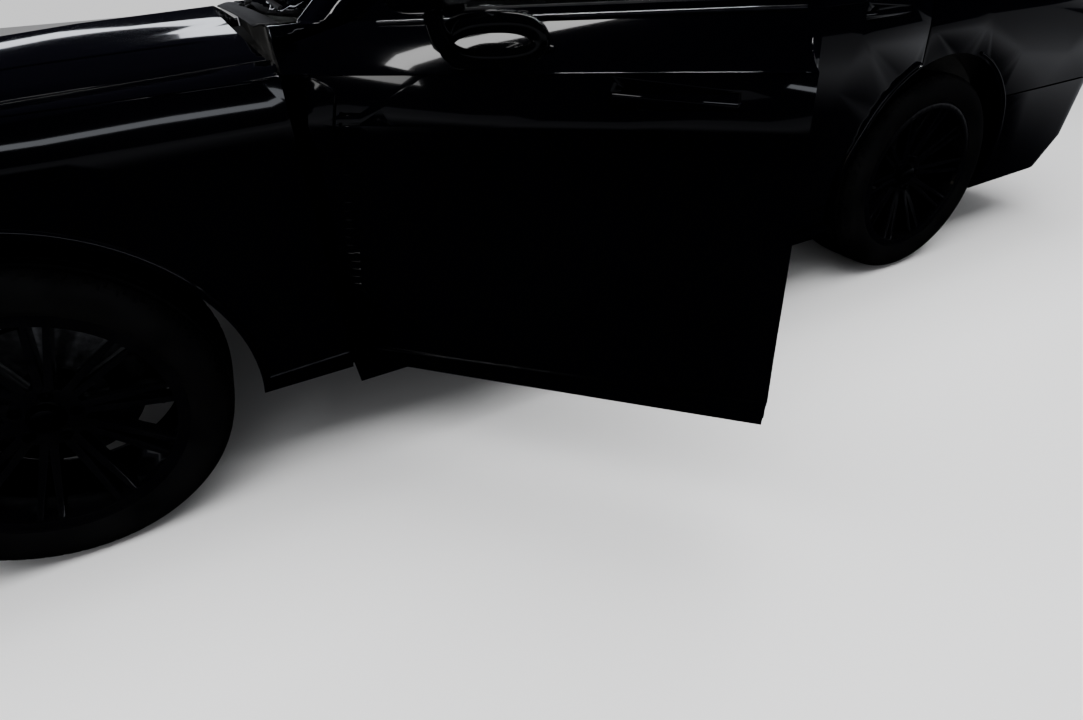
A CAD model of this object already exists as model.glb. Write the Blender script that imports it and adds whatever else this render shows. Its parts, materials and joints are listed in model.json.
import json
import math

import bmesh
import bpy
import numpy as np
from mathutils import Matrix, Vector


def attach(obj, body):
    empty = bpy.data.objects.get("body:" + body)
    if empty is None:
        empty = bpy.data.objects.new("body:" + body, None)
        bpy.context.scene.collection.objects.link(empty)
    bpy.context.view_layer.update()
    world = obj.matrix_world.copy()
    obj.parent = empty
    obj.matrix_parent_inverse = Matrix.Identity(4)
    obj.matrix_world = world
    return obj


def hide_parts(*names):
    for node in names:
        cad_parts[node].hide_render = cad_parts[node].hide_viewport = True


# Looks of a luxury sport utility vehicle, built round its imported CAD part.
# Places are written in the car's own frame, in metres: front axle at x = 0, +x forward,
# centre plane at y = 0, +y to the left, floor at z = 0. carOrigin carries them to the row frame.

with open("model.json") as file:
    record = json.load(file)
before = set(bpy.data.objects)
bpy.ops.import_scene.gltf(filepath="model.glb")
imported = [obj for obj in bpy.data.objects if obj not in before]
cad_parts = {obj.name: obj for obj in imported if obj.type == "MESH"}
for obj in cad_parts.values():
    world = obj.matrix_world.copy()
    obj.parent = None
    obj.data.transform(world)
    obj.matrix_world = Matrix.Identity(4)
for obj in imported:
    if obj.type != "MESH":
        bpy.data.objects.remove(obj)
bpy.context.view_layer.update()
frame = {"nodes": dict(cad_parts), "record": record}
carOrigin = np.array((1.610, -0.304, 0.0))
nodes = frame["nodes"]
sides = (("left", 1), ("right", -1))

car = dict(wheelbase=2.922, wheelY=0.843, axleZ=0.390, hingeX=-0.733, hingeY=0.950, doorOpen=45.0,
           archRadius=0.460)


# Materials

# Empty node material and its principled shader
def newMaterial(name):
    material = bpy.data.materials.new(name)
    material.use_nodes = True
    return material, material.node_tree.nodes["Principled BSDF"]


def link(material, fromNode, fromSocket, toNode, toSocket):
    material.node_tree.links.new(fromNode.outputs[fromSocket], toNode.inputs[toSocket])


# One shader node, with socket values given by name and other settings as attributes
def addNode(material, kind, **values):
    node = material.node_tree.nodes.new(kind)
    for key, value in values.items():
        if key in node.inputs:
            node.inputs[key].default_value = value
        else:
            setattr(node, key, value)
    return node


# Colour mix of two sockets or colours; sockets 6 and 7 of the node are its colours A and B
def addMix(material, colourA, colourB):
    mix = addNode(material, "ShaderNodeMix", data_type="RGBA")
    for socket, colour in ((6, colourA), (7, colourB)):
        if isinstance(colour, tuple):
            mix.inputs[socket].default_value = colour
        else:
            link(material, colour, 2, mix, socket)
    return mix


patchEdges = (0.35, 0.65)


# Colour and roughness that vary with noise, and a bump of the finish's own grain
def surfaceDetail(material, shader, look):
    coords = addNode(material, "ShaderNodeTexCoord")
    patches = addNode(material, "ShaderNodeTexNoise", Scale=look["patchScale"], Detail=4.0)
    link(material, coords, "Object", patches, "Vector")
    ramp = addNode(material, "ShaderNodeValToRGB")
    for element, place, colour in zip(ramp.color_ramp.elements, patchEdges, look["colours"]):
        element.position = place
        element.color = (*colour, 1)
    link(material, patches, "Fac", ramp, "Fac")
    link(material, ramp, "Color", shader, "Base Color")
    span = addNode(material, "ShaderNodeMapRange")
    span.inputs["To Min"].default_value, span.inputs["To Max"].default_value = look["roughness"]
    link(material, patches, "Fac", span, "Value")
    link(material, span, "Result", shader, "Roughness")
    kind = "ShaderNodeTexVoronoi" if look.get("pores") else "ShaderNodeTexNoise"
    grain = addNode(material, kind, Scale=look["grainScale"])
    link(material, coords, "Object", grain, "Vector")
    bump = addNode(material, "ShaderNodeBump", Strength=look["bump"], Distance=look["bumpDepth"])
    link(material, grain, "Distance" if look.get("pores") else "Fac", bump, "Height")
    link(material, bump, "Normal", shader, "Normal")


# Finish of one surface: its darker and lighter colour, scale of its patches, roughness from and to, scale of
# its grain, strength and depth of its bump, and any further shader values
def finish(dark, light, patchScale, roughness, grainScale, bump, bumpDepth, **more):
    return dict(colours=(dark, light), patchScale=patchScale, roughness=roughness, grainScale=grainScale,
                bump=bump, bumpDepth=bumpDepth, **more)


looks = {
    "paint": finish((0.0002, 0.0002, 0.0005), (0.0004, 0.0004, 0.0008), 3, (0.06, 0.09), 60, 0.004, 0.0004,
                    coat=1.0, specular=0.45),
    "wheelBlack": finish((0.0006, 0.0006, 0.0009), (0.0014, 0.0014, 0.0018), 12, (0.14, 0.22), 600, 0.02,
                         0.0003, coat=0.7),
    "rubber": finish((0.0008, 0.0008, 0.001), (0.0022, 0.0022, 0.0025), 9, (0.55, 0.75), 500, 0.25, 0.0006,
                     specular=0.3),
    "trim": finish((0.008, 0.008, 0.009), (0.014, 0.014, 0.015), 20, (0.42, 0.55), 1400, 0.2, 0.0003),
    "gloss": finish((0.0004, 0.0004, 0.0005), (0.0008, 0.0008, 0.001), 8, (0.04, 0.08), 700, 0.01, 0.0002,
                    coat=0.5),
    "satinMetal": finish((0.42, 0.42, 0.43), (0.55, 0.55, 0.56), 30, (0.16, 0.26), 900, 0.04, 0.0002,
                         metallic=1.0),
    "darkMetal": finish((0.05, 0.05, 0.055), (0.09, 0.09, 0.095), 30, (0.18, 0.3), 900, 0.04, 0.0002,
                        metallic=1.0),
    "discMetal": finish((0.16, 0.16, 0.16), (0.3, 0.3, 0.3), 60, (0.25, 0.4), 300, 0.1, 0.0003,
                        metallic=1.0),
    "underbody": finish((0.01, 0.01, 0.01), (0.022, 0.021, 0.02), 7, (0.55, 0.8), 300, 0.4, 0.001),
    "castMetal": finish((0.05, 0.05, 0.052), (0.12, 0.12, 0.12), 25, (0.35, 0.55), 400, 0.3, 0.0006,
                        metallic=1.0),
    "leather": finish((0.62, 0.55, 0.44), (0.7, 0.63, 0.52), 8, (0.38, 0.52), 520, 0.25, 0.0006, sheen=0.15,
                      pores=True),
    "darkLeather": finish((0.012, 0.011, 0.011), (0.02, 0.019, 0.018), 9, (0.4, 0.55), 520, 0.25, 0.0006,
                          pores=True),
    "stitch": finish((0.42, 0.36, 0.28), (0.52, 0.46, 0.36), 80, (0.6, 0.8), 1500, 0.4, 0.0004),
    "carpet": finish((0.03, 0.028, 0.026), (0.06, 0.056, 0.052), 260, (0.85, 1.0), 1200, 0.9, 0.003,
                     sheen=0.3),
    "glass": finish((0.52, 0.56, 0.56), (0.54, 0.58, 0.58), 2, (0.0, 0.01), 40, 0.0, 0.0001,
                    transmission=1.0),
    "lampGlass": finish((0.92, 0.93, 0.95), (0.95, 0.96, 0.97), 2, (0.0, 0.02), 40, 0.0, 0.0001,
                        transmission=1.0),
    "lampRed": finish((0.12, 0.002, 0.002), (0.2, 0.004, 0.004), 30, (0.05, 0.1), 300, 0.02, 0.0003,
                      coat=1.0),
    "screen": finish((0.004, 0.005, 0.008), (0.007, 0.008, 0.012), 4, (0.05, 0.09), 900, 0.0, 0.0001,
                     coat=1.0),
    "plate": finish((0.66, 0.66, 0.64), (0.72, 0.72, 0.7), 14, (0.35, 0.5), 800, 0.1, 0.0002),
}


# The material of one look, made once
def material(name):
    label = name + "Finish"
    if label in bpy.data.materials:
        return bpy.data.materials[label]
    look = looks[name]
    made, shader = newMaterial(label)
    surfaceDetail(made, shader, look)
    shader.inputs["Coat Weight"].default_value = look.get("coat", 0.0)
    shader.inputs["Coat Roughness"].default_value = 0.02
    shader.inputs["Specular IOR Level"].default_value = look.get("specular", 0.5)
    shader.inputs["Metallic"].default_value = look.get("metallic", 0.0)
    shader.inputs["Sheen Weight"].default_value = look.get("sheen", 0.0)
    shader.inputs["Transmission Weight"].default_value = look.get("transmission", 0.0)
    return made


# Looks of the CAD nodes by slot, and the slots that new pieces of each look go to
slotLook = dict(paint="paint", underbody="underbody", tinted_glass="glass", grille_black="gloss",
                lamp_clear="lampGlass", lamp_red="lampRed", engine_metal="castMetal",
                running_gear="castMetal", dark_trim="darkLeather", cream_leather="leather",
                tyre_rubber="rubber", wheel_black="wheelBlack")
lookSlot = {look: slot for slot, look in slotLook.items()}
lookSlot.update(trim="dark_trim", screen="dark_trim", plate="dark_trim", carpet="dark_trim",
                stitch="cream_leather", satinMetal="running_gear", darkMetal="running_gear",
                discMetal="running_gear", castMetal="running_gear")

for row in frame["record"]["subparts"]:
    part = nodes[row["node"]]
    part.data.materials.clear()
    part.data.materials.append(material(slotLook[row["material_slot"]]))
    part.data.polygons.foreach_set("material_index", [0] * len(part.data.polygons))


# Faces of a CAD node whose middles pass a test get another look; the test sees x, y and z in the car's frame
def paintFaces(node, look, test):
    mesh = nodes[node].data
    middle = np.empty(len(mesh.polygons) * 3)
    mesh.polygons.foreach_get("center", middle)
    x, y, z = (middle.reshape(-1, 3) - carOrigin).T
    index = np.zeros(len(mesh.polygons), int)
    mesh.polygons.foreach_get("material_index", index)
    index[test(x, y, z)] = len(mesh.materials)
    mesh.materials.append(material(look))
    mesh.polygons.foreach_set("material_index", index)


edges = dict(weld=0.00002, join=0.00001, roundAngle=35.0, roundSteps=2)


# Small round on the edges that are sharper than a given angle
def roundEdges(piece, width, harden=False):
    rounding = piece.modifiers.new("rounding", "BEVEL")
    rounding.width = width
    rounding.segments = edges["roundSteps"]
    rounding.limit_method = "ANGLE"
    rounding.angle_limit = math.radians(edges["roundAngle"])
    rounding.harden_normals = harden


def subdivideOnce(piece):
    smoothing = piece.modifiers.new("smoothing", "SUBSURF")
    smoothing.levels = smoothing.render_levels = 1


# Joined corners, a small round on hard edges, and smooth shading elsewhere
def finishCadNode(part, bevel):
    part.modifiers.new("weld", "WELD").merge_threshold = edges["weld"]
    if bevel:
        roundEdges(part, bevel, harden=True)
    part.data.polygons.foreach_set("use_smooth", [True] * len(part.data.polygons))


# Body outline, as in the CAD: half width, nose and tail by height, and the height of its bows
levelZ = np.array((0.240, 0.385, 0.640, 0.960, 1.061, 1.150))
levelHalf = np.array((0.942, 0.972, 0.991, 0.986, 0.975, 0.893))
levelNose = np.array((0.800, 0.868, 0.887, 0.858, 0.826, 0.730))
levelTail = np.array((-4.030, -4.096, -4.112, -4.078, -4.050, -3.985))
bow = dict(side=0.024, nose=0.150, tail=0.070)


# Half width of the skin: the level's half width less a parabola of the distance from the middle
def bodySide(x, z):
    front = np.interp(z, levelZ, levelNose) - bow["nose"]
    back = np.interp(z, levelZ, levelTail) + bow["tail"]
    middle, span = (front + back) / 2, (front - back) / 2
    return np.interp(z, levelZ, levelHalf) - bow["side"] * ((x - middle) / span) ** 2


# Share of the half width at a place, squared: 0 on the centre plane and 1 at the side
def acrossSquared(y, z):
    return (y / (np.interp(z, levelZ, levelHalf) - bow["side"])) ** 2


# Nose and tail of the skin: the level's end, drawn in by a parabola of the distance from the centre plane
def bodyNose(y, z):
    return np.interp(z, levelZ, levelNose) - bow["nose"] * acrossSquared(y, z)


def bodyTail(y, z):
    return np.interp(z, levelZ, levelTail) + bow["tail"] * acrossSquared(y, z)


roofX = np.array((-1.345, -1.700, -2.300, -3.100, -3.830))
roofCrown = np.array((1.728, 1.806, 1.832, 1.800, 1.728))
roofShoulder = np.array((1.704, 1.758, 1.776, 1.752, 1.700))
roofHalf = np.array((0.500, 0.564, 0.568, 0.560, 0.510))


# Roof: its crown by station, falling to its shoulder by a parabola across it
def roofTop(x, y):
    crown, shoulder, half = (np.interp(-x, -roofX, line) for line in (roofCrown, roofShoulder, roofHalf))
    return crown - (crown - shoulder) * (y / half) ** 2


bonnetX = np.array((-0.720, -0.200, 0.350, 0.760, 0.950))
bonnetLow = np.array((1.086, 1.062, 1.030, 0.985, 0.962))
bonnetHigh = np.array((1.172, 1.150, 1.108, 1.034, 0.996))
bonnetHalf = 0.858


# Bonnet: heights of its middle and side by station, joined by a parabola across it
def bonnetTop(x, y):
    low, high = np.interp(x, bonnetX, bonnetLow), np.interp(x, bonnetX, bonnetHigh)
    return high - (high - low) * (y / bonnetHalf) ** 2


# Surfaces

# Rows and columns of points become quads; wrapped edges meet, and closed ends get one face each
def gridFaces(grid, wrapRows, wrapColumns, closeEnds, first):
    rows, columns = grid.shape[:2]
    index = np.arange(rows * columns).reshape(rows, columns) + first
    if wrapRows:
        index = np.vstack([index, index[:1]])
    if wrapColumns:
        index = np.hstack([index, index[:, :1]])
    corners = [index[:-1, :-1], index[1:, :-1], index[1:, 1:], index[:-1, 1:]]
    faces = np.stack(corners, -1).reshape(-1, 4).tolist()
    if closeEnds:
        faces += [index[0, :-1][::-1].tolist(), index[-1, :-1].tolist()]
    return faces


# Points of a piece of the open front left door, drawn with the door closed
def swungOut(points):
    angle = -math.radians(car["doorOpen"])
    x, y = points[:, 0] - car["hingeX"], points[:, 1] - car["hingeY"]
    acrossX = x * math.cos(angle) - y * math.sin(angle) + car["hingeX"]
    acrossY = x * math.sin(angle) + y * math.cos(angle) + car["hingeY"]
    return np.stack([acrossX, acrossY, points[:, 2]], 1)


# One piece made of grids, each with its way of closing; it rides on a body, mirrored for the right side
def addPiece(name, grids, look, body="body", side=1, sharp=40.0, thickness=0.0):
    points, faces = [], []
    for grid, wrapRows, wrapColumns, closeEnds in grids:
        faces += gridFaces(grid, wrapRows, wrapColumns, closeEnds, len(points))
        points += grid.reshape(-1, 3).tolist()
    points = np.array(points)
    if body == "door_front_left":
        points = swungOut(points)
    points[:, 1] *= side
    mesh = bpy.data.meshes.new(name)
    mesh.from_pydata((points + carOrigin).tolist(), [], faces)
    build = bmesh.new()
    build.from_mesh(mesh)
    bmesh.ops.remove_doubles(build, verts=build.verts, dist=edges["join"])
    bmesh.ops.recalc_face_normals(build, faces=build.faces)
    build.to_mesh(mesh)
    build.free()
    mesh.polygons.foreach_set("use_smooth", [True] * len(mesh.polygons))
    mesh.set_sharp_from_angle(angle=math.radians(sharp))
    mesh.materials.append(material(look))
    piece = bpy.data.objects.new(name, mesh)
    bpy.context.scene.collection.objects.link(piece)
    if thickness:
        wall = piece.modifiers.new("wall", "SOLIDIFY")
        wall.thickness = thickness
        wall.offset = 0
    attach(piece, body)
    return piece


# A profile of (across, up) points carried along a path; across lies level unless the path climbs
def swept(path, profile, taper=None, up=(0, 0, 1)):
    path = np.asarray(path, float)
    ahead = np.gradient(path, axis=0)
    ahead /= np.linalg.norm(ahead, axis=1, keepdims=True)
    across = np.cross(ahead, np.asarray(up, float))
    across /= np.linalg.norm(across, axis=1, keepdims=True)
    upward = np.cross(across, ahead)
    scale = np.ones(len(path)) if taper is None else np.asarray(taper, float)
    reach = np.asarray(profile, float)[None] * scale[:, None, None]
    return path[:, None] + across[:, None] * reach[..., :1] + upward[:, None] * reach[..., 1:]


# Bar of any profile along an open path, closed at its ends
def bar(path, profile, taper=None, up=(0, 0, 1)):
    return swept(path, profile, taper, up), False, True, True


# Bar along a path that meets itself
def hoop(path, profile, up=(0, 0, 1)):
    return swept(path, profile, None, up), True, True, False


def circle(radius, count=10):
    a = np.linspace(0, 2 * np.pi, count, endpoint=False)
    return np.stack([radius * np.cos(a), radius * np.sin(a)], 1)


def flatStrip(half, high):
    return [(-half, -high), (half, -high), (half, high), (-half, high)]


# Round bar along a path
def tube(path, radius, count=10, taper=None, up=(0, 0, 1)):
    return bar(path, circle(radius, count), taper, up)


# Size along a bead: whole, falling towards both ends over a few points
def fade(count, points, least):
    k = np.arange(count)
    return np.minimum(1, np.minimum(k, k[::-1]) / points + least)


# Path from x, y and z, where single numbers stand for the whole path
def pathOf(x, y, z):
    return np.stack(np.broadcast_arrays(x, y, z), -1).astype(float)


# Straight path of a few points between two places
def run(start, end, count=2):
    t = np.linspace(0, 1, count)[:, None]
    return np.asarray(start, float) * (1 - t) + np.asarray(end, float) * t


# Turned form: (radius, along) points carried round an axis parallel to x, y or z (0, 1 or 2) through a place
def turned(profile, place, axis=1, segments=48):
    a = np.linspace(0, 2 * np.pi, segments, endpoint=False)[:, None]
    r, along = np.asarray(profile, float).T[:, None]
    parts = [r * np.cos(a), r * np.sin(a)]
    parts.insert(axis, along + 0 * a)
    return np.stack(parts, -1) + np.asarray(place, float), True, False, False


def signedPower(values, power):
    return np.sign(values) * np.abs(values) ** power


# Rounded rectangle: an ellipse's cosine and sine raised to small powers
def softRing(width, height, powerAcross, powerUp, count):
    a = np.linspace(0, 2 * np.pi, count, endpoint=False)
    return np.stack([width * signedPower(np.cos(a), powerAcross),
                     height * signedPower(np.sin(a), powerUp)], 1)


# Soft box: a sphere's cosines raised to a small power, so that its faces are flat and its edges round
def softBox(centre, half, square=0.35, rows=18, columns=36, turn=0.0):
    v = np.linspace(-np.pi / 2, np.pi / 2, rows)[:, None]
    u = np.linspace(0, 2 * np.pi, columns, endpoint=False)[None]
    ring = signedPower(np.cos(v), square)
    shape = np.stack([ring * signedPower(np.cos(u), square), ring * signedPower(np.sin(u), square),
                      signedPower(np.sin(v), square) + 0 * u], -1) * np.asarray(half, float)
    return turnedAcross(shape, math.radians(turn)) + np.asarray(centre, float), False, True, False


# Points turned about an axis parallel to Y, through the origin
def turnedAcross(points, angle):
    c, s = math.cos(angle), math.sin(angle)
    x, z = points[..., 0], points[..., 2]
    return np.stack([x * c + z * s, points[..., 1], -x * s + z * c], -1)


# Box between two corners' x, y and z
def plainBox(x, y, z):
    ring = [(x[0], y[0]), (x[1], y[0]), (x[1], y[1]), (x[0], y[1])]
    return np.array([[(*corner, height) for corner in ring] for height in z]), False, True, True


# Stage: camera, floor, lights

cameraFit = dict(place=(-0.5947, 2.4173, 1.2539), yaw=-0.4248, pitch=0.5189, roll=-0.0702,
                 focalPixels=607.3, principalY=300.0, photoWidth=1083.0, photoHeight=720.0)


# Camera at the photograph's place, turned by yaw, pitch and roll, with a small vertical shift
def makeCamera(fit):
    yaw, pitch, roll = fit["yaw"], fit["pitch"], fit["roll"]
    forward = Vector((math.sin(yaw) * math.cos(pitch), -math.cos(yaw) * math.cos(pitch), -math.sin(pitch)))
    right = forward.cross(Vector((0, 0, 1))).normalized()
    up = right.cross(forward)
    rolledRight = math.cos(roll) * right + math.sin(roll) * up
    rolledUp = -math.sin(roll) * right + math.cos(roll) * up
    data = bpy.data.cameras.new("camera")
    data.sensor_width = 36.0
    data.lens = fit["focalPixels"] / fit["photoWidth"] * data.sensor_width
    data.shift_y = (fit["principalY"] - fit["photoHeight"] / 2) / fit["photoWidth"]
    data.clip_end = 200
    eye = bpy.data.objects.new("camera", data)
    bpy.context.scene.collection.objects.link(eye)
    turn = Matrix((rolledRight, rolledUp, -forward)).transposed().to_4x4()
    eye.matrix_world = Matrix.Translation(Vector(fit["place"]) + Vector(carOrigin)) @ turn
    bpy.context.scene.camera = eye


stage = dict(floorHalf=30.0, floorDrop=0.0005, floorColour=(0.96, 0.96, 0.965, 1),
             floorInPaint=(0.002, 0.002, 0.003, 1), farFloorInPaint=(0.20, 0.205, 0.22, 1),
             darkCentre=(2.4, 2.9, 0.0), darkTo=5.4, paleFrom=9.5, skyColour=(1.0, 1.0, 1.01, 1),
             skyFill=(0.30, 0.30, 0.305, 1), skyInPaint=(0.004, 0.004, 0.007, 1))


# Pale floor that shows dark in the paint's reflections near the car, as in the photograph's studio
def makeFloor():
    s = stage["floorHalf"]
    mesh = bpy.data.meshes.new("floor")
    mesh.from_pydata([(-s, -s, 0), (s, -s, 0), (s, s, 0), (-s, s, 0)], [], [(0, 1, 2, 3)])
    floor = bpy.data.objects.new("studioFloor", mesh)
    bpy.context.scene.collection.objects.link(floor)
    floor.location.z = -stage["floorDrop"]
    made, shader = newMaterial("studioFloor")
    shader.inputs["Roughness"].default_value = 0.9
    shader.inputs["Specular IOR Level"].default_value = 0.0
    coords = addNode(made, "ShaderNodeTexCoord")
    centre = addNode(made, "ShaderNodeVectorMath", operation="DISTANCE")
    link(made, coords, "Object", centre, 0)
    centre.inputs[1].default_value = stage["darkCentre"]
    reach = addNode(made, "ShaderNodeMapRange", interpolation_type="SMOOTHSTEP")
    reach.inputs["From Min"].default_value = stage["darkTo"]
    reach.inputs["From Max"].default_value = stage["paleFrom"]
    link(made, centre, "Value", reach, "Value")
    inPaint = addMix(made, stage["floorInPaint"], stage["farFloorInPaint"])
    link(made, reach, "Result", inPaint, 0)
    colour = addMix(made, stage["floorColour"], inPaint)
    link(made, addNode(made, "ShaderNodeLightPath"), "Is Glossy Ray", colour, 0)
    link(made, colour, 2, shader, "Base Color")
    mesh.materials.append(made)


# Pale sky to the eye, a weak one as light, and a dark one in the paint
def makeSky():
    world = bpy.data.worlds.new("studio")
    bpy.context.scene.world = world
    world.use_nodes = True
    path = addNode(world, "ShaderNodeLightPath")
    seen = addMix(world, stage["skyFill"], stage["skyColour"])
    link(world, path, "Is Camera Ray", seen, 0)
    colour = addMix(world, seen, stage["skyInPaint"])
    link(world, path, "Is Glossy Ray", colour, 0)
    link(world, colour, 2, world.node_tree.nodes["Background"], "Color")
    world.cycles.sampling_method = "NONE"


coolWhite = (0.88, 0.92, 1.0)
lights = {
    # place, target, size, power, colour, and whether it leaves no highlight in the paint
    "overheadFill": ((-1.2, 1.4, 6.0), (-1.2, 1.2, 0.0), (9.0, 6.0), 820, (1, 1, 1), True),
    "overhead": ((-0.6, 0.5, 4.2), (-0.6, 0.5, 0.0), (4.6, 0.35), 26, (1, 1, 1), False),
    "overheadRear": ((-3.4, 0.0, 4.2), (-3.2, 0.0, 0.0), (1.0, 1.6), 8, (0.85, 0.90, 1.0), False),
    "rightHorizon": ((-0.5, -7.0, 2.3), (-0.5, 0.0, 0.9), (9.0, 0.5), 22, coolWhite, False),
    "leftHorizon": ((-1.6, 7.5, 2.6), (-1.6, 0.0, 0.8), (9.0, 0.5), 20, coolWhite, False),
    "frontHorizon": ((7.0, 0.0, 2.4), (0.0, 0.0, 0.8), (5.0, 0.5), 16, (1, 1, 1), False),
    "rearHorizon": ((-10.5, 0.0, 2.4), (-3.5, 0.0, 0.8), (5.0, 0.5), 16, (1, 1, 1), False),
}


# Soft rectangular light at one place, aimed at another
def areaLight(name, place, target, size, power, colour, fill):
    data = bpy.data.lights.new(name, "AREA")
    data.shape = "RECTANGLE"
    data.size, data.size_y = size
    data.energy = power
    data.color = colour
    lamp = bpy.data.objects.new(name, data)
    bpy.context.scene.collection.objects.link(lamp)
    lamp.location = Vector(place) + Vector(carOrigin)
    lamp.rotation_mode = "QUATERNION"
    lamp.rotation_quaternion = (Vector(target) - Vector(place)).to_track_quat("-Z", "Y")
    lamp.visible_glossy = not fill


makeCamera(cameraFit)
makeFloor()
makeSky()
for name, values in lights.items():
    areaLight(name, *values)
print("stage and camera")


# Brightwork and creases on the body

# Body that a side's piece rides on: its door, or else the car's body
def bodyOf(door, word):
    return f"{door}_{word}" if door else "body"


beads = dict(crease=0.0022, lower=0.0050, sill=0.0045, sillZ=1.149, sillProud=0.002, lip=0.0070,
             lipSunk=0.001)
sideBeads = {
    # span in x, heights at its ends, radius, lift off the skin, look, door
    "crease_door_front": ((-0.700, -1.748), (1.060, 1.060), beads["crease"], 0.0, "paint", "door_front"),
    "crease_door_rear": ((-1.772, -2.750), (1.060, 1.060), beads["crease"], 0.0, "paint", "door_rear"),
    "wingCrease": ((0.470, -0.680), (1.048, 1.059), beads["crease"], 0.0, "paint", ""),
    "quarterCrease": ((-2.772, -3.790), (1.060, 1.056), beads["crease"], 0.0, "paint", ""),
    "lowerStrip_door_front": ((-0.742, -1.748), (0.360, 0.380), beads["lower"], 0.0005, "darkMetal",
                              "door_front"),
    "lowerStrip_door_rear": ((-1.775, -2.452), (0.380, 0.380), beads["lower"], 0.0005, "darkMetal",
                             "door_rear"),
    "wingStrip": ((-0.462, -0.682), (0.352, 0.360), beads["lower"], 0.0, "darkMetal", ""),
}
sills = {"door_front": (-0.905, -1.728), "door_rear": (-1.795, -2.720)}
archLips = {
    # wheel centre in x, angles in degrees, distance outside the arch, door
    "frontArch": (0.0, (-8, 188), 0.014, ""),
    "rearArchBody": (-car["wheelbase"], (111, 188), 0.014, ""),
    "rearArchTail": (-car["wheelbase"], (-8, 69), 0.020, "door_rear"),
}
bonnetLines = {"crest": (0.560, 0.640, 0.0040), "edgeLine": (0.815, 0.846, 0.0026)}
bonnetLine = dict(front=0.760, back=-0.640, sunk=0.45)


# Bead along the side, half let into the skin and drawn to a point at both ends
def sideBead(span, heights, radius, lift, count=40):
    x = np.linspace(*span, count)
    z = np.linspace(*heights, count)
    return tube(pathOf(x, bodySide(x, z) + lift, z), radius, 8, fade(count, 2, 0.15))


# Lip round a wheel arch: a circle about the axle, laid on the skin
def archLip(x0, angles, outside):
    a = np.radians(np.linspace(*angles, 60))
    reach = car["archRadius"] + outside
    x, z = x0 + reach * np.cos(a), car["axleZ"] + reach * np.sin(a)
    return tube(pathOf(x, bodySide(x, z) - beads["lipSunk"], z), beads["lip"], up=(0, 1, 0))


for word, side in sides:
    for name, (span, heights, radius, lift, look, door) in sideBeads.items():
        addPiece(f"{name}_{word}", [sideBead(span, heights, radius, lift)], look, bodyOf(door, word), side)
    for door, span in sills.items():
        x = np.linspace(*span, 30)
        path = pathOf(x, bodySide(x, beads["sillZ"]) + beads["sillProud"], beads["sillZ"])
        addPiece(f"sillTrim_{door}_{word}", [tube(path, beads["sill"])], "satinMetal", bodyOf(door, word),
                 side)
    for name, (x0, angles, outside, door) in archLips.items():
        addPiece(f"{name}_{word}", [archLip(x0, angles, outside)], "paint", bodyOf(door, word), side)
    for name, (yFront, yBack, radius) in bonnetLines.items():
        x = np.linspace(bonnetLine["front"], bonnetLine["back"], 60)
        y = np.linspace(yFront, yBack, 60)
        path = pathOf(x, y, bonnetTop(x, y) - radius * bonnetLine["sunk"])
        addPiece(f"bonnet_{name}_{word}", [tube(path, radius, 8, fade(60, 6, 0.05))], "paint", "bonnet", side)
print("brightwork")


# Wheels and tyres

wheel = dict(segments=396, blocks=66, slant=32.0, gapShare=0.16, gapDepth=0.0054, gapFrom=0.0035, gapTo=0.121,
             grooveDepth=0.0075, rib=0.0006, ribs=180, ribFrom=0.335, ribTo=0.350, nuts=5, nutCircle=0.060,
             hubFace=0.070, rimFace=0.119, discPlace=0.800, discHalf=0.0175, discRadius=0.191,
             hubRadius=0.060)

# Half of a tyre's section, from its bead to its middle: places across, the sidewall's radii by point, and the
# tread's radii by place; then the ring grooves, each with its place and half width
tyreHalf = np.array((0.117, 0.124, 0.132, 0.136, 0.1355, 0.131, 0.126, 0.120, 0.112, 0.104, 0.098, 0.092,
                     0.088, 0.082, 0.078, 0.058, 0.054, 0.048, 0.044, 0.024, 0.020, 0.006, 0.003))
sidewall = np.array((0.283, 0.290, 0.306, 0.330, 0.346, 0.362))
treadPlaces = (0.0, 0.052, 0.084, 0.102, 0.118, 0.128)
treadRadii = (0.390, 0.390, 0.3885, 0.386, 0.378, 0.367)
grooves = ((0.051, 0.004), (0.085, 0.004), (0.0045, 0.002))

# Turned sections: (radius, along), where along points out of the wheel
tyreInside = [(0.283, 0.117), (0.280, 0.104), (0.330, 0.100), (0.362, 0.060), (0.362, -0.060),
              (0.330, -0.100), (0.280, -0.104), (0.283, -0.117)]
hubCap = [(0.0, 0.020), (0.020, 0.0195), (0.030, 0.016), (0.034, 0.010), (0.036, 0.010), (0.038, 0.006),
          (0.038, -0.004), (0.0, -0.004)]
wheelNut = [(0.0, 0.014), (0.007, 0.014), (0.0095, 0.011), (0.0105, 0.002), (0.014, 0.001), (0.014, -0.004),
            (0.0, -0.004)]
rimLip = [(0.2790, 0.0010), (0.2850, 0.0050), (0.2915, 0.0052), (0.2925, 0.0005), (0.2905, -0.0030),
          (0.2800, -0.0040)]


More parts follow.
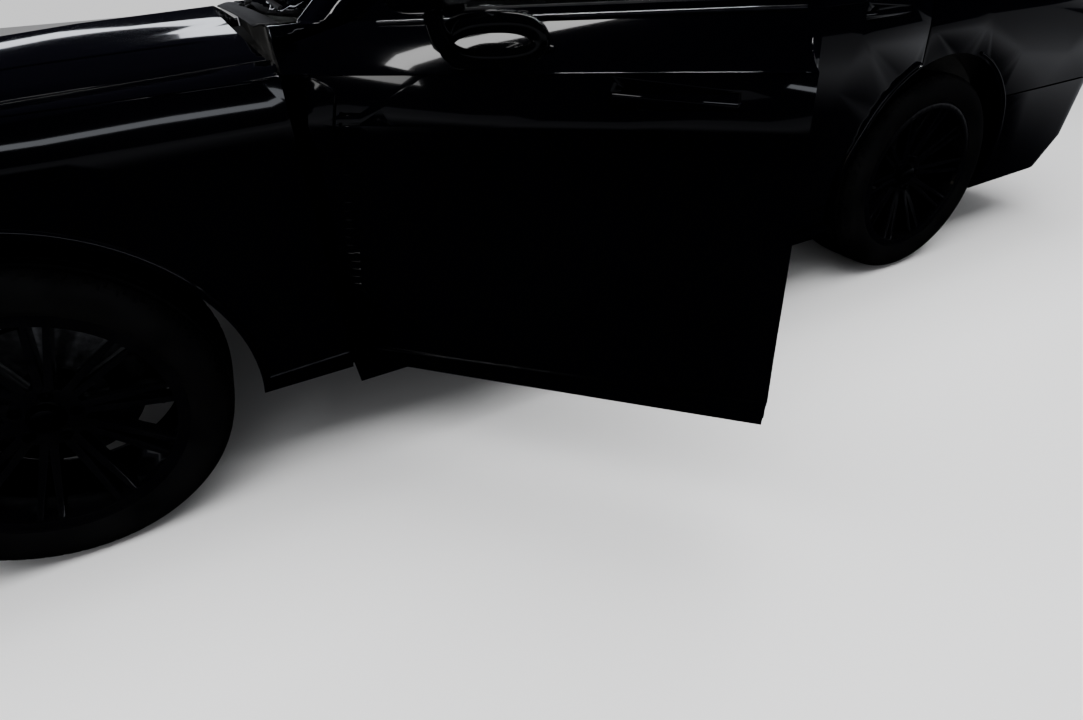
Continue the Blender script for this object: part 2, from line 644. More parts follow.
# Tyre: radius by place across it, lowered by ring grooves and by slanted gaps between the blocks
def tyreGrid(x0, side):
    across = np.concatenate([-tyreHalf, tyreHalf[::-1]])
    reach = np.abs(across)
    radius = np.interp(reach, treadPlaces, treadRadii)
    radius[:len(sidewall)], radius[-len(sidewall):] = sidewall, sidewall[::-1]
    a = np.linspace(0, 2 * np.pi, wheel["segments"], endpoint=False)[:, None]
    grooved = sum(np.abs(reach - place) < half for place, half in grooves) > 0
    slant = (a * wheel["blocks"] / (2 * np.pi) + wheel["slant"] * across) % 1.0
    gap = (slant < wheel["gapShare"]) & (reach < wheel["gapTo"]) & (reach > wheel["gapFrom"])
    depth = np.maximum(np.where(gap, wheel["gapDepth"], 0.0), np.where(grooved, wheel["grooveDepth"], 0.0))
    ribbed = (np.cos(a * wheel["ribs"]) > 0) & (radius > wheel["ribFrom"]) & (radius < wheel["ribTo"])
    r = radius - depth + wheel["rib"] * ribbed
    grid = pathOf(x0 + r * np.cos(a), side * car["wheelY"] + across, car["axleZ"] + r * np.sin(a))
    return grid, True, False, False


# The brake disc's faces stand near one place across the car, between its hub and its edge
def onDisc(x, y, z):
    reach = np.hypot(x, z - car["axleZ"])
    near = np.abs(np.abs(y) - wheel["discPlace"]) < wheel["discHalf"]
    return near & (reach < wheel["discRadius"]) & (reach > wheel["hubRadius"])


def outward(profile, side):
    return [(radius, side * along) for radius, along in profile]


for end, x0 in (("front", 0.0), ("rear", -car["wheelbase"])):
    for word, side in sides:
        body = f"wheel_{end}_{word}"
        middle = np.array((x0, side * car["wheelY"], car["axleZ"]))
        inside = turned(tyreInside, middle, segments=wheel["segments"])
        tyre = addPiece("tread_" + body, [tyreGrid(x0, side), inside], "rubber", body, sharp=28)
        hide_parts(f"tyre_{end}_{word}")
        face = middle + (0, side * wheel["hubFace"], 0)
        grids = [turned(outward(hubCap, side), face)]
        for a in 2 * np.pi * (np.arange(wheel["nuts"]) + 0.5) / wheel["nuts"]:
            place = face + wheel["nutCircle"] * np.array((math.cos(a), 0, math.sin(a)))
            grids.append(turned(outward(wheelNut, side), place, segments=12))
        addPiece("hubCap_" + body, grids, "darkMetal", body, sharp=30)
        lip = turned(outward(rimLip, side), middle + (0, side * wheel["rimFace"], 0), segments=144)
        addPiece("rimLip_" + body, [(lip[0], True, True, False)], "wheelBlack", body)
        valve = run(middle + (0.236, side * 0.088, 0), middle + (0.224, side * 0.112, 0), 3)
        addPiece("valve_" + body, [tube(valve, 0.0042)], "trim", body)
        paintFaces(f"rim_{end}_{word}", "discMetal", lambda x, y, z: onDisc(x - x0, y, z))
print("wheels")


# Moulded pieces

# Pieces from a table of soft boxes: centre, half sizes, squareness, turn in degrees, look
def addMoulded(table, paired=False):
    for name, (centre, half, square, turn, look) in table.items():
        for word, side in sides if paired else (("", 1),):
            grid = softBox(centre, half, square, turn=turn)
            addPiece(name + ("_" + word if paired else ""), [grid], look, "body", side)


# Front end

front = dict(fins=46, finsTo=0.438, finSunk=0.010, grilleZ=(0.800, 0.950), plateX=0.8838, plateHalf=0.260,
             plateZ=(0.548, 0.658), slats=9, slatsTo=0.560, slatsZ=(0.390, 0.502), slatSunk=0.060,
             lampZ=0.8745, lampPlaces=((0.742, 0.560), (0.716, 0.672), (0.668, 0.772)), sensorSunk=0.0026)
bezel = [(0.031, 0.000), (0.033, 0.004), (0.031, 0.008), (0.026, 0.008), (0.0245, -0.010), (0.020, -0.022)]
sensor = [(0.0, 0.0018), (0.008, 0.0018), (0.0095, 0.0004), (0.0098, -0.003), (0.0, -0.003)]
sensors = {"sensor_40": (0.40, 0.70), "sensor_70": (0.70, 0.66)}
lens = dict(radius=0.0235, depth=0.016, back=-0.012)
blade = dict(yFrom=0.505, yTo=0.800, skinZ=0.93, sunk=0.030, turnFrom=0.74, turn=0.5, radius=0.0048)
plateLayers = ((0.0, 0.0), (0.0016, 0.0), (0.0024, 0.003), (0.0016, 0.006), (0.0016, 0.020))


# Thin upright fin of the grille, following the nose
def grilleFin(y):
    z = np.linspace(*front["grilleZ"], 6)
    return bar(pathOf(bodyNose(y, z) - front["finSunk"], y, z), flatStrip(0.0012, 0.006), up=(1, 0, 0))


# Slat behind the intake's bars
def intakeSlat(z):
    y = np.linspace(-front["slatsTo"], front["slatsTo"], 30)
    return bar(pathOf(bodyNose(y, z) - front["slatSunk"], y, z), flatStrip(0.002, 0.012), up=(1, 0, 0.3))


# Loop on the nose: two level lines joined by half ellipses
def noseLoop(half, zLow, zHigh, lift, corner=0.018, count=24):
    y = np.linspace(-half + corner, half - corner, count)
    top = np.stack([y, np.full(count, zHigh)], 1)
    bottom = np.stack([y[::-1], np.full(count, zLow)], 1)
    a = np.radians(np.linspace(90, -90, 9))
    rise = (zHigh - zLow) / 2
    right = np.stack([half - corner + corner * np.cos(a), zLow + rise + rise * np.sin(a)], 1)
    left = right[::-1] * (-1, 1)
    loop = np.vstack([top, right[1:-1], bottom, left[1:-1]])
    return pathOf(bodyNose(loop[:, 0], loop[:, 1]) + lift, loop[:, 0], loop[:, 1])


# Blank number plate: layers of a rounded rectangle, each with its depth and inset, make a raised rim
def plateGrids(x, facing, half, zLow, zHigh):
    middle, high = (zLow + zHigh) / 2, (zHigh - zLow) / 2
    y, z = softRing(1, 1, 0.22, 0.30, 48).T
    layers = [pathOf(x + facing * depth, (half - inset) * y, middle + (high - inset) * z)
              for depth, inset in plateLayers]
    return np.stack(layers), False, True, True


# Lens: half an ellipse turned about its axis
def lensProfile():
    v = np.linspace(0, np.pi / 2, 9)
    return np.stack([lens["radius"] * np.sin(v), lens["back"] + lens["depth"] * np.cos(v)], 1)


finPlaces = np.linspace(-front["finsTo"], front["finsTo"], front["fins"])
addPiece("grilleFins", [grilleFin(y) for y in finPlaces], "gloss")
frameLoop = noseLoop(0.466, 0.793, 0.956, -0.003)
addPiece("grilleFrame", [hoop(frameLoop, circle(0.0045, 8), up=(1, 0, 0))], "darkMetal")
frameLoop = noseLoop(0.585, 0.378, 0.514, -0.004)
addPiece("intakeFrame", [hoop(frameLoop, circle(0.0060, 8), up=(1, 0, 0))], "gloss")
addPiece("intakeSlats", [intakeSlat(z) for z in np.linspace(*front["slatsZ"], front["slats"])], "trim")
plate = plateGrids(front["plateX"], 1, front["plateHalf"], *front["plateZ"])
addPiece("frontPlate", [plate], "plate", sharp=30)
addMoulded({"frontPlateHolder": ((0.870, 0, 0.603), (0.0120, 0.262, 0.057), 0.12, 0, "trim")})

for word, side in sides:
    places = [(x, y, front["lampZ"]) for x, y in front["lampPlaces"]]
    addPiece("lampBezels_" + word, [turned(bezel, place, 0, 40) for place in places], "satinMetal", side=side)
    addPiece("lampLenses_" + word, [turned(lensProfile(), place, 0, 40) for place in places], "lampGlass",
             side=side)
    y = np.linspace(blade["yFrom"], blade["yTo"], 24)
    x = bodyNose(y, blade["skinZ"]) - blade["sunk"] - np.clip(y - blade["turnFrom"], 0, 1) * blade["turn"]
    for name, z in (("high", 0.936), ("low", 0.812)):
        addPiece(f"lightBlade_{name}_{word}", [tube(pathOf(x, y, z), blade["radius"], 8)], "plate", side=side)
    for name, (y, z) in sensors.items():
        place = (float(bodyNose(y, z)) - front["sensorSunk"], y, z)
        addPiece(f"{name}_{word}", [turned(sensor, place, 0, 20)], "gloss", side=side)
print("front end")


# Rear end

rear = dict(plateX=-4.0782, plateHalf=0.258, plateZ=(0.770, 0.874), stripHalf=0.640, stripZ=0.930,
            stripProud=0.0005, bladeZ=(0.925, 1.120), reflectorY=(0.560, 0.760), reflectorZ=0.430,
            reflectorIn=0.001, tipY=0.390, tipZ=0.262)
tailBlades = ((0.742, 0.0035), (0.802, 0.0047))
stripProfile = [(0.004, -0.012), (-0.002, -0.010), (-0.002, 0.010), (0.004, 0.012)]
reflectorProfile = [(0.003, -0.010), (-0.001, -0.008), (-0.001, 0.008), (0.003, 0.010)]
tipStations = ((-3.800, 0.55), (-3.840, 0.95), (-3.940, 1.0), (-3.946, 0.97), (-3.940, 0.90), (-3.850, 0.80))

plate = plateGrids(rear["plateX"], -1, rear["plateHalf"], *rear["plateZ"])
addPiece("rearPlate", [plate], "plate", "lower_tailgate", sharp=30)
y = np.linspace(-rear["stripHalf"], rear["stripHalf"], 50)
path = pathOf(bodyTail(y, rear["stripZ"]) - rear["stripProud"], y, rear["stripZ"])
addPiece("tailgateStrip", [bar(path, stripProfile, fade(50, 3, 0.2))], "gloss", "lower_tailgate", sharp=30)
for word, side in sides:
    for k, (y, sunk) in enumerate(tailBlades):
        z = np.linspace(*rear["bladeZ"], 18)
        path = pathOf(bodyTail(y, z) + sunk, y, z)
        addPiece(f"tailBlade{k}_{word}", [tube(path, 0.0050, 8, up=(0, 1, 0))], "lampRed", side=side)
    y = np.linspace(*rear["reflectorY"], 14)
    path = pathOf(bodyTail(y, rear["reflectorZ"]) + rear["reflectorIn"], y, rear["reflectorZ"])
    addPiece("reflector_" + word, [bar(path, reflectorProfile)], "lampRed", side=side)
    ring = softRing(0.060, 0.026, 0.5, 0.5, 36)
    grid = np.stack([pathOf(x, rear["tipY"] + size * ring[:, 0], rear["tipZ"] + size * ring[:, 1])
                     for x, size in tipStations])
    addPiece("exhaustTip_" + word, [(grid, False, True, False)], "satinMetal", side=side, sharp=35)
print("rear end")


# Wipers, cowl, roof and window seals

cabin = dict(waistZ=1.150, height=0.570, half=0.872, halfLean=0.204, middleX=-0.668, middleLean=0.710,
             cornerX=-0.800, cornerLean=0.650, sealOut=0.006)


# Windscreen: middle and corner lean back with height, joined by a parabola across
def screenPoint(y, z):
    t = (z - cabin["waistZ"]) / cabin["height"]
    middle, corner = cabin["middleX"] - cabin["middleLean"] * t, cabin["cornerX"] - cabin["cornerLean"] * t
    return middle + (corner - middle) * (y / (cabin["half"] - cabin["halfLean"] * t)) ** 2


# Side glass: its distance from the centre plane falls evenly with height
def cabinSide(z):
    return cabin["half"] - cabin["halfLean"] * (z - cabin["waistZ"]) / cabin["height"] + cabin["sealOut"]


wipers = {"left": (0.560, 0.588), "right": (0.060, 0.600)}
wiper = dict(z=1.190, rise=0.030, proud=0.006, armRadius=0.0055, armProud=0.010)
wiperProfile = [(-0.004, -0.003), (0.004, -0.003), (0.0015, 0.010), (-0.0015, 0.010)]
for word, (pivotY, length) in wipers.items():
    y = np.linspace(pivotY, pivotY - length, 24)
    z = wiper["z"] + wiper["rise"] * np.linspace(0, 1, 24)
    path = pathOf(screenPoint(y, z) + wiper["proud"], y, z)
    addPiece("wiperBlade_" + word, [bar(path, wiperProfile)], "trim")
    arm = path[:13] + pathOf(wiper["armProud"], 0, -np.linspace(0.022, -0.004, 13))
    addPiece("wiperArm_" + word, [tube(arm, wiper["armRadius"], 8, np.linspace(1.5, 0.7, 13))], "trim")

# Cowl panel: five lines across, each further back, with a shallow wave from one to the next
cowl = dict(half=0.700, middleX=-0.612, endX=-0.672, step=0.016, z=1.1665, fall=0.05, wave=0.004,
            waveStep=1.3)
y = np.linspace(-cowl["half"], cowl["half"], 40)
x = np.interp(np.abs(y), (0, cowl["half"]), (cowl["middleX"], cowl["endX"]))
grid = np.stack([pathOf(x - k * cowl["step"], y,
                        cowl["z"] - cowl["fall"] * y ** 2 + cowl["wave"] * np.sin(k * cowl["waveStep"]))
                 for k in range(5)])
addPiece("cowlGrille", [(grid, False, False, False)], "trim", thickness=0.003)

# Roof glass: the roof's own surface, sunk at its front and back edges
roofGlass = dict(front=-1.500, back=-3.250, half=0.470, edge=0.03, proud=0.0008, sunk=0.0004, top=1.8318)
x = np.linspace(roofGlass["front"], roofGlass["back"], 60)[:, None]
y = np.linspace(-roofGlass["half"], roofGlass["half"], 24)[None]
inward = np.minimum(np.abs(x - roofGlass["front"]), np.abs(x - roofGlass["back"]))
lift = roofGlass["proud"] * np.minimum(1, inward / roofGlass["edge"]) - roofGlass["sunk"]
grid = pathOf(x, y, np.minimum(roofTop(x, y) + lift, roofGlass["top"]))
addPiece("roofGlass", [(grid, False, False, False)], "gloss")

rail = dict(front=-1.600, back=-3.450, y=0.585, seatY=0.560, sunk=0.006, height=0.020, radius=0.0095)
x = np.linspace(rail["front"], rail["back"], 50)
z = roofTop(x, rail["seatY"]) + rail["height"] * fade(50, 4, 0) - rail["sunk"]
for word, side in sides:
    addPiece("roofRail_" + word, [tube(pathOf(x, rail["y"], z), rail["radius"], 12)], "gloss", side=side)

# Roof aerial: ellipses that shrink and move back as they rise
aerial = dict(x=-3.520, back=0.030, z=1.752, height=0.062, length=0.085, lengthFall=0.82, half=0.018,
              halfFall=0.85)
fin = []
for t in np.linspace(0, 1, 12):
    ring = softRing(aerial["length"] * (1 - aerial["lengthFall"] * t),
                    aerial["half"] * (1 - aerial["halfFall"] * t ** 1.5), 1, 1, 20)
    x = aerial["x"] - aerial["back"] * t + ring[:, 0]
    fin.append(pathOf(x, ring[:, 1], aerial["z"] + aerial["height"] * t))
addPiece("roofAerial", [(np.array(fin), False, True, True)], "paint")

# Window seals, as corners (x, z) of each door's opening
seal = dict(radius=0.0045, sunk=0.004)
openings = {"door_front": ((-0.965, 1.164), (-1.722, 1.164), (-1.722, 1.640), (-1.420, 1.640)),
            "door_rear": ((-1.800, 1.164), (-2.712, 1.164), (-2.640, 1.640), (-1.800, 1.640))}
for word, side in sides:
    for door, corners in openings.items():
        x, z = np.vstack([run(corners[k], corners[(k + 1) % 4], 14)[:-1] for k in range(4)]).T
        path = pathOf(x, cabinSide(z) - seal["sunk"], z)
        addPiece(f"windowSeal_{door}_{word}", [hoop(path, circle(seal["radius"], 8), up=(0, 1, 0))], "trim",
                 bodyOf(door, word), side)
print("glass and roof")


# Mirrors and door furniture

mirror = dict(centre=(-1.1030, 1.0350, 1.2480), half=(0.061, 0.074, 0.078), square=0.42, narrowing=0.16,
              footX=-1.1850, footHalf=0.088, footY=0.958, footLean=0.010, footZ=1.1150, footHigh=0.030,
              stalkRadius=0.018, lampX=-1.0425, lampY=1.040, lampZ=1.222, lampRadius=0.0045)
footProfile = [(-0.026, -0.009), (0.010, -0.010), (0.018, 0.0), (0.010, 0.010), (-0.026, 0.009)]
stalk = [(-1.092, 0.962, 1.108), (-1.090, 0.985, 1.130), (-1.096, 1.008, 1.158), (-1.100, 1.020, 1.190)]
lock = [(0.0, 0.9795), (0.0060, 0.9795), (0.0075, 0.9775), (0.0075, 0.965), (0.0, 0.965)]
gill = dict(zFrom=0.540, zTo=1.040, x=-0.716, z=0.560, slant=-0.108 / 0.460, proud=0.0002, radius=0.0032)


# Mirror housing: a soft box that narrows towards its outer end
def mirrorHousing():
    grid = softBox((0, 0, 0), mirror["half"], mirror["square"], 26, 52)[0]
    grid[..., 2] *= 1 - mirror["narrowing"] * np.clip(grid[..., 1] / mirror["half"][1], -1, 1)
    return grid + np.array(mirror["centre"]), False, True, False


# Mirror foot: a flat loop on the door's shoulder, with an opening in its middle
def mirrorFoot():
    a = np.linspace(0, 2 * np.pi, 48, endpoint=False)
    x = mirror["footX"] + mirror["footHalf"] * signedPower(np.cos(a), 0.8)
    y = mirror["footY"] + mirror["footLean"] * np.cos(a)
    z = mirror["footZ"] + mirror["footHigh"] * np.sin(a)
    return hoop(pathOf(x, y, z), footProfile, up=(0, 1, 0))


for word, side in sides:
    body = "door_front_" + word
    grids = [mirrorHousing(), mirrorFoot(),
             tube(stalk, mirror["stalkRadius"], 16, (1.5, 1.1, 0.95, 1.2), up=(1, 0, 0))]
    piece = addPiece("mirrorHousing_" + word, grids, "gloss", body, side, sharp=50)
    subdivideOnce(piece)
    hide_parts("mirror_" + word)
    glass = softBox((-1.1635, 1.035, 1.247), (0.0028, 0.062, 0.062), 0.30)
    addPiece("mirrorGlass_" + word, [glass], "satinMetal", body, side)
    y = np.linspace(0.985, 1.105, 20)
    bend = (y - mirror["lampY"]) ** 2
    path = pathOf(mirror["lampX"] - 1.5 * bend, y, mirror["lampZ"] - 0.2 * bend)
    addPiece("mirrorLamp_" + word, [tube(path, mirror["lampRadius"], 8)], "lampGlass", body, side)
    addPiece("lock_" + word, [turned(lock, (-1.566, 0, 0.985), 1, 20)], "darkMetal", body, side)
    z = np.linspace(gill["zFrom"], gill["zTo"], 40)
    x = gill["x"] + (z - gill["z"]) * gill["slant"]
    path = pathOf(x, bodySide(x, z) + gill["proud"], z)
    trim = tube(path, gill["radius"], 8, fade(40, 3, 0.15), up=(0, 1, 0))
    addPiece("gillTrim_" + word, [trim], "gloss", body, side)

# Door cards: ends in x and place across; then each card's pads, with height, half sizes, squareness and look
cards = {"door_front": (-1.640, -0.850, 0.862), "door_rear": (-2.420, -1.850, 0.866)}
cardPads = {"cardTop": (1.065, 1.0, 0.014, 0.050, 0.22, "darkLeather"),
            "cardMiddle": (0.905, 1.0, 0.012, 0.098, 0.15, "leather"),
            "cardLow": (0.560, 0.98, 0.012, 0.160, 0.15, "darkLeather")}
card = dict(pipingZ=1.012, pipingIn=0.010, pipingRadius=0.0028, pullRadius=0.0090, speakerIn=0.14,
            speakerZ=0.500)
pullX = np.array((-0.10, -0.08, 0.0, 0.08, 0.10))
pullIn = np.array((0.004, 0.036, 0.044, 0.036, 0.004))
pullZ = (0.840, 0.850, 0.855, 0.850, 0.840)
speaker = [(0.0, -0.016), (0.060, -0.015), (0.072, -0.012), (0.076, -0.006), (0.076, 0.004), (0.0, 0.004)]
for word, side in sides:
    for door, (xBack, xFront, y) in cards.items():
        body = bodyOf(door, word)
        mid, half = (xBack + xFront) / 2, (xFront - xBack) / 2
        for name, (z, share, thick, high, square, look) in cardPads.items():
            grid = softBox((mid, y, z), (half * share, thick, high), square)
            addPiece(f"{name}_{body}", [grid], look, body, side)
        path = pathOf(np.linspace(xFront, xBack, 30), y - card["pipingIn"], card["pipingZ"])
        addPiece("cardPiping_" + body, [tube(path, card["pipingRadius"], 8)], "satinMetal", body, side)
        path = pathOf(mid + pullX, y - pullIn, pullZ)
        addPiece("cardPull_" + body, [tube(path, card["pullRadius"], 12)], "satinMetal", body, side)
        place = (xFront - card["speakerIn"], y, card["speakerZ"])
        addPiece("cardSpeaker_" + body, [turned(speaker, place)], "darkMetal", body, side)
print("doors")


# Seats

seat = dict(y=0.395, shrink=0.006, fill=0.6, voxel=0.014, pressure=4.0, stiffness=40, frames=12,
            moveMost=0.022, seamRadius=0.0028, channelRadius=0.0022, channels=5)
seatPads = {
    # centre, half sizes, squareness, lean in degrees, bulge
    "seatCushion": ((-1.625, 0.0, 0.600), (0.240, 0.196, 0.066), 0.30, -4, 0.012),
    "seatBolster0": ((-1.625, -0.212, 0.612), (0.238, 0.042, 0.074), 0.45, -4, 0.004),
    "seatBolster1": ((-1.625, 0.212, 0.612), (0.238, 0.042, 0.074), 0.45, -4, 0.004),
    "seatBack": ((-1.918, 0.0, 0.935), (0.068, 0.180, 0.285), 0.30, -14, 0.004),
    "backBolster0": ((-1.905, -0.204, 0.915), (0.076, 0.045, 0.275), 0.45, -14, 0.004),
    "backBolster1": ((-1.905, 0.204, 0.915), (0.076, 0.045, 0.275), 0.45, -14, 0.004),
    "headrest": ((-1.992, 0.0, 1.315), (0.048, 0.124, 0.092), 0.40, -8, 0.004),
}
benchPads = {
    "benchCushion": ((-2.530, 0.0, 0.545), (0.196, 0.186, 0.072), 0.30, -4, 0.012),
    "benchBack": ((-2.800, 0.0, 0.910), (0.070, 0.186, 0.272), 0.30, -13, 0.004),
    "benchHeadrest": ((-2.880, 0.0, 1.258), (0.040, 0.118, 0.078), 0.40, 0, 0.004),
}


# Cushion: a soft box whose two faces bulge by a parabola along and across, then leant back
def cushionGrid(centre, half, square, lean, bulge):
    grid = softBox((0, 0, 0), half, square, 26, 52)[0]
    x, y, z = grid[..., 0], grid[..., 1], grid[..., 2]
    raised = bulge * (1 - (x / half[0]) ** 2) * (1 - (y / half[1]) ** 2)
    grid = np.stack([x, y, z + np.sign(z) * raised], -1)
    return turnedAcross(grid, math.radians(lean)) + np.asarray(centre, float), False, True, False


def pointsOf(mesh):
    points = np.empty(len(mesh.vertices) * 3)
    mesh.vertices.foreach_get("co", points)
    return points.reshape(-1, 3)


# Soft cover: the pad is remeshed and blown up as cloth, and no point moves further than a set length
def inflate(piece):
    remesh = piece.modifiers.new("remesh", "REMESH")
    remesh.mode = "VOXEL"
    remesh.voxel_size = seat["voxel"]
    remesh.use_smooth_shade = True
    bpy.context.view_layer.objects.active = piece
    with bpy.context.temp_override(object=piece, active_object=piece, selected_objects=[piece]):
        bpy.ops.object.modifier_apply(modifier="remesh")
    start = pointsOf(piece.data)
    cloth = piece.modifiers.new("cloth", "CLOTH")
    cloth.settings.use_pressure = True
    cloth.settings.uniform_pressure_force = seat["pressure"]
    cloth.settings.tension_stiffness = seat["stiffness"]
    cloth.settings.effector_weights.gravity = 0.0
    scene = bpy.context.scene
    for step in range(1, seat["frames"] + 1):
        scene.frame_set(step)
    move = pointsOf(piece.evaluated_get(bpy.context.evaluated_depsgraph_get()).to_mesh()) - start
    length = np.linalg.norm(move, axis=1, keepdims=True)
    move *= np.minimum(1.0, seat["moveMost"] / np.maximum(length, 1e-9))
    piece.modifiers.remove(cloth)
    piece.data.vertices.foreach_set("co", (start + move).ravel())
    piece.data.update()
    scene.frame_set(1)


# One padded cushion, a little under its finished size before it is blown up
def addPad(name, centre, half, square, lean, bulge):
    piece = addPiece(name, [cushionGrid(centre, np.asarray(half) - seat["shrink"], square, lean, bulge)],
                     "leather", sharp=180)
    inflate(piece)
    subdivideOnce(piece)
    return piece


# The pads of one seat, from a table of pads about the seat's middle
def addPads(table, ending, y):
    return [addPad(f"{name}{ending}", (x, across + y, z), *shape)
            for name, ((x, across, z), *shape) in table.items()]


for word, side in sides:
    y = side * seat["y"]
    made = addPads(seatPads, "_" + word, y)
    if word == "left":
        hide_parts("front_seats")
    for ending, sign in (("a", -1), ("b", 1)):
        post = run((-1.985, y + sign * 0.055, 1.170), (-1.992, y + sign * 0.055, 1.270), 3)
        addPiece(f"headrestPost_{word}_{ending}", [tube(post, 0.006, 12, up=(1, 0, 0))], "satinMetal")
        x = np.linspace(-1.400, -1.840, 20)
        path = pathOf(x, y + sign * 0.176, 0.667 + 0.070 * (x + 1.625))
        addPiece(f"cushionSeam_{word}_{ending}", [tube(path, seat["seamRadius"], 8)], "stitch")
    for k in range(seat["channels"]):
        z = 0.720 + 0.090 * k
        path = pathOf(-1.843 - 0.25 * (z - 0.935), np.linspace(y - 0.150, y + 0.150, 16), z)
        addPiece(f"backChannel{k}_{word}", [tube(path, seat["channelRadius"], 8)], "stitch")
    addMoulded({
        "seatPlinth_" + word: ((-1.650, y, 0.452), (0.205, 0.195, 0.105), 0.14, 0, "darkLeather"),
        "seatShell_" + word: ((-1.985, y, 0.900), (0.030, 0.235, 0.280), 0.30, -14, "darkLeather"),
    })

for k, y in enumerate((-0.382, 0.0, 0.382)):
    made = addPads(benchPads, k, y)
    if k == 0:
        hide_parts("rear_seat")
print("seats")


# Cabin

cabinPieces = {
    # centre, half sizes, squareness, turn in degrees, look
    "benchBase": ((-2.550, 0, 0.450), (0.170, 0.560, 0.045), 0.12, 0, "darkLeather"),
    "benchRear": ((-2.885, 0, 0.920), (0.030, 0.565, 0.260), 0.16, 0, "darkLeather"),
    "dashTop": ((-0.955, 0, 1.117), (0.160, 0.735, 0.018), 0.20, 0, "darkLeather"),
    "dashPad": ((-1.108, 0, 1.020), (0.018, 0.730, 0.040), 0.20, 0, "leather"),
    "instrumentDisplay": ((-1.108, 0.395, 1.118), (0.008, 0.165, 0.058), 0.16, 12, "screen"),
    "middleDisplay": ((-1.126, 0, 1.040), (0.007, 0.165, 0.090), 0.14, 12, "screen"),
    "middleDisplayRim": ((-1.121, 0, 1.040), (0.007, 0.171, 0.096), 0.14, 12, "darkMetal"),
    "gloveboxLid": ((-1.085, -0.430, 0.860), (0.016, 0.250, 0.070), 0.14, 28, "leather"),
    "kneePanel": ((-1.085, 0.430, 0.860), (0.016, 0.210, 0.070), 0.14, 28, "darkLeather"),
    "consoleTop": ((-1.330, 0, 0.729), (0.230, 0.118, 0.014), 0.16, 3, "gloss"),
    "gearSelector": ((-1.255, 0, 0.775), (0.024, 0.030, 0.032), 0.50, 0, "darkLeather"),
    "insideMirror": ((-1.375, 0, 1.585), (0.012, 0.125, 0.034), 0.35, 0, "gloss"),
    "insideMirrorGlass": ((-1.385, 0, 1.585), (0.004, 0.117, 0.027), 0.30, 0, "satinMetal"),
    "pedal0": ((-1.020, 0.470, 0.470), (0.006, 0.045, 0.050), 0.20, 30, "satinMetal"),
    "pedal1": ((-1.020, 0.320, 0.470), (0.006, 0.026, 0.050), 0.20, 30, "satinMetal"),
}
cabinPairs = {
    "consoleSide": ((-1.440, 0.1285, 0.600), (0.400, 0.006, 0.090), 0.14, 0, "leather"),
    "frontMat": ((-1.165, 0.430, 0.3445), (0.185, 0.215, 0.0040), 0.12, 0, "carpet"),
    "rearMat": ((-2.150, 0.430, 0.3445), (0.150, 0.215, 0.0040), 0.12, 0, "carpet"),
    "tunnelCarpet": ((-1.600, 0.154, 0.380), (0.600, 0.0035, 0.036), 0.10, 0, "carpet"),
    "sunVisor": ((-1.470, 0.330, 1.640), (0.070, 0.165, 0.008), 0.20, -14, "leather"),
}
addMoulded(cabinPieces)
addMoulded(cabinPairs, paired=True)
addPad("consoleArmrest", (-1.700, 0, 0.732), (0.155, 0.118, 0.034), 0.25, 0, 0.006)

vent = dict(x=(-1.129, -1.110), y=(-0.700, 0.700), z=0.955, step=0.008, high=0.003, slats=5)
addPiece("ventSlats", [plainBox(vent["x"], vent["y"], (vent["z"] + k * vent["step"],
                                                       vent["z"] + k * vent["step"] + vent["high"]))
                       for k in range(vent["slats"])], "gloss")

# Cup holders: (radius, height) rings round an upright axis
cup = [(0.043, 0.740), (0.041, 0.746), (0.037, 0.742), (0.034, 0.725), (0.001, 0.724)]
for k, x in enumerate((-1.430, -1.520)):
    addPiece(f"cupHolder{k}", [turned(cup, (x, 0, 0), 2, 36)], "satinMetal")
for k, y in enumerate((0.470, 0.320)):
    arm = run((-1.012, y, 0.500), (-0.940, y, 0.700), 4)
    addPiece(f"pedalArm{k}", [tube(arm, 0.009, 8, up=(0, 1, 0))], "darkMetal")

# Lining under the roof, at an even distance from it
lining = dict(front=-1.480, back=-3.560, half=0.560, drop=0.072, thick=0.006)
x = np.linspace(lining["front"], lining["back"], 40)[:, None]
y = np.linspace(-lining["half"], lining["half"], 20)[None]
grid = pathOf(x, y, roofTop(x, y) - lining["drop"])
addPiece("headlining", [(grid, False, False, False)], "leather", thickness=lining["thick"])

# Steering wheel: padded boss, switches on the spokes, paddles, and the stitched seam round the rim
steering = dict(centre=np.array((-1.268, 0.395, 0.985)), rake=math.radians(25), seamCircle=0.1615,
                seamRadius=0.0018, paddleRadius=0.0060, stalkRadius=0.0075)
wheelOut = np.array((-math.cos(steering["rake"]), 0, math.sin(steering["rake"])))
wheelUp = np.array((math.sin(steering["rake"]), 0, math.cos(steering["rake"])))
paddle = np.array([(0.075, 0.020, -0.030), (0.105, 0.034, -0.034), (0.120, 0.030, -0.034),
                   (0.125, 0.010, -0.032)])


# Places given across, up and out of the steering wheel's plane
def wheelPoints(places):
    across, up, out = (places[..., k, None] for k in range(3))
    return steering["centre"] + across * np.array((0, 1, 0)) + up * wheelUp + out * wheelOut


# Soft box in the wheel's plane: its own x points out of the wheel, y across and z up
def wheelBox(half, square, across=0.0, up=0.0, out=0.0):
    grid = softBox((0, 0, 0), half, square)[0][..., (1, 2, 0)] + (across, up, out)
    return wheelPoints(grid), False, True, False


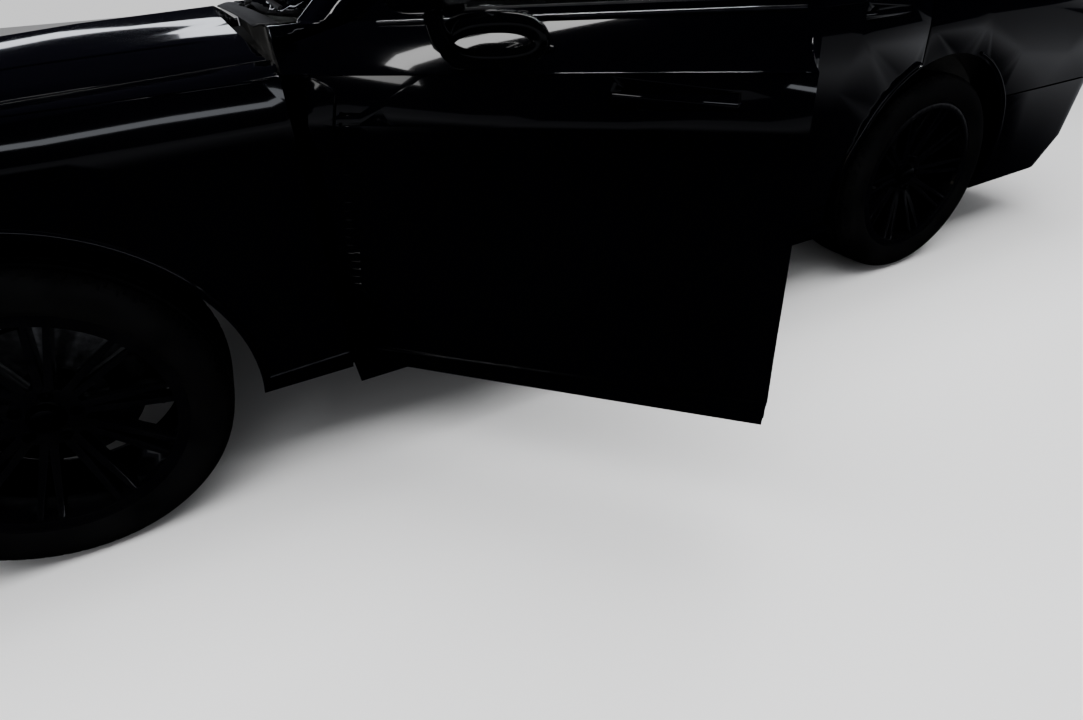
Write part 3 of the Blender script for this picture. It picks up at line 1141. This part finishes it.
addPiece("wheelBoss", [wheelBox((0.020, 0.078, 0.062), 0.42)], "darkLeather", "steering_wheel")
for word, side in sides:
    switches = wheelBox((0.007, 0.034, 0.015), 0.35, side * 0.112, 0.004, -0.002)
    addPiece("wheelSwitches_" + word, [switches], "gloss", "steering_wheel")
    path = wheelPoints(paddle * (side, 1, 1))
    addPiece("shiftPaddle_" + word, [tube(path, steering["paddleRadius"], 8, up=(1, 0, 0.2))], "darkMetal",
             "steering_wheel")
ring = wheelPoints(pathOf(*circle(steering["seamCircle"], 96).T, 0))
addPiece("rimStitch", [hoop(ring, circle(steering["seamRadius"], 6), up=wheelOut)], "stitch",
         "steering_wheel")
for k, sign in enumerate((-1, 1)):
    path = pathOf((-1.205, -1.222, -1.232), steering["centre"][1] + sign * np.array((0.030, 0.090, 0.150)),
                  (0.975, 0.985, 0.992))
    addPiece(f"columnStalk{k}", [tube(path, steering["stalkRadius"])], "trim")
print("cabin")


# Under the bonnet: engine cover, pipes, battery, reservoirs

engineBay = dict(ribs=9, ribFrom=-0.370, ribStep=0.065, ribHalf=0.170, ribZ=0.9585, ribRadius=0.0045,
                 airRadius=0.036, coolantRadius=0.020, radiatorRound=0.004)
airHose = [(0.330, 0.380, 0.880), (0.240, 0.260, 0.905), (0.160, 0.140, 0.912), (0.060, 0.060, 0.940)]
coolantHose = [(0.450, -0.200, 0.800), (0.380, -0.120, 0.830), (0.300, -0.080, 0.800), (0.240, -0.060, 0.760)]
addMoulded({
    "engineCover": ((-0.110, 0, 0.925), (0.330, 0.225, 0.034), 0.16, 0, "trim"),
    "battery": ((-0.330, -0.520, 0.845), (0.120, 0.090, 0.085), 0.12, 0, "trim"),
    "airBox": ((0.330, 0.380, 0.840), (0.150, 0.120, 0.090), 0.18, 0, "trim"),
    "coolantTank": ((0.330, -0.400, 0.850), (0.110, 0.085, 0.075), 0.35, 0, "plate"),
})
ribs = []
for k in range(engineBay["ribs"]):
    x = engineBay["ribFrom"] + k * engineBay["ribStep"]
    path = run((x, -engineBay["ribHalf"], engineBay["ribZ"]), (x, engineBay["ribHalf"], engineBay["ribZ"]), 8)
    ribs.append(tube(path, engineBay["ribRadius"], 8))
addPiece("engineCoverRibs", ribs, "trim")
addPiece("airHose", [tube(airHose, engineBay["airRadius"], 20)], "rubber")
addPiece("coolantHose", [tube(coolantHose, engineBay["coolantRadius"], 16)], "rubber")
radiator = addPiece("radiator", [plainBox((0.600, 0.640), (-0.380, 0.380), (0.420, 0.800))], "darkMetal")
roundEdges(radiator, engineBay["radiatorRound"])
print("engine bay")


# Painted and moulded nodes get a small round on their edges; seats and structure are left sharp
cadRound = 0.0016
roundedStarts = ("door", "side_frame", "bonnet", "front_", "rear_bumper", "lower_", "upper_", "rim")
for name, part in nodes.items():
    rounded = name.startswith(roundedStarts) and not name.endswith(("seats", "structure"))
    finishCadNode(part, cadRound if rounded else 0.0)
print("materials on", len(nodes), "nodes")
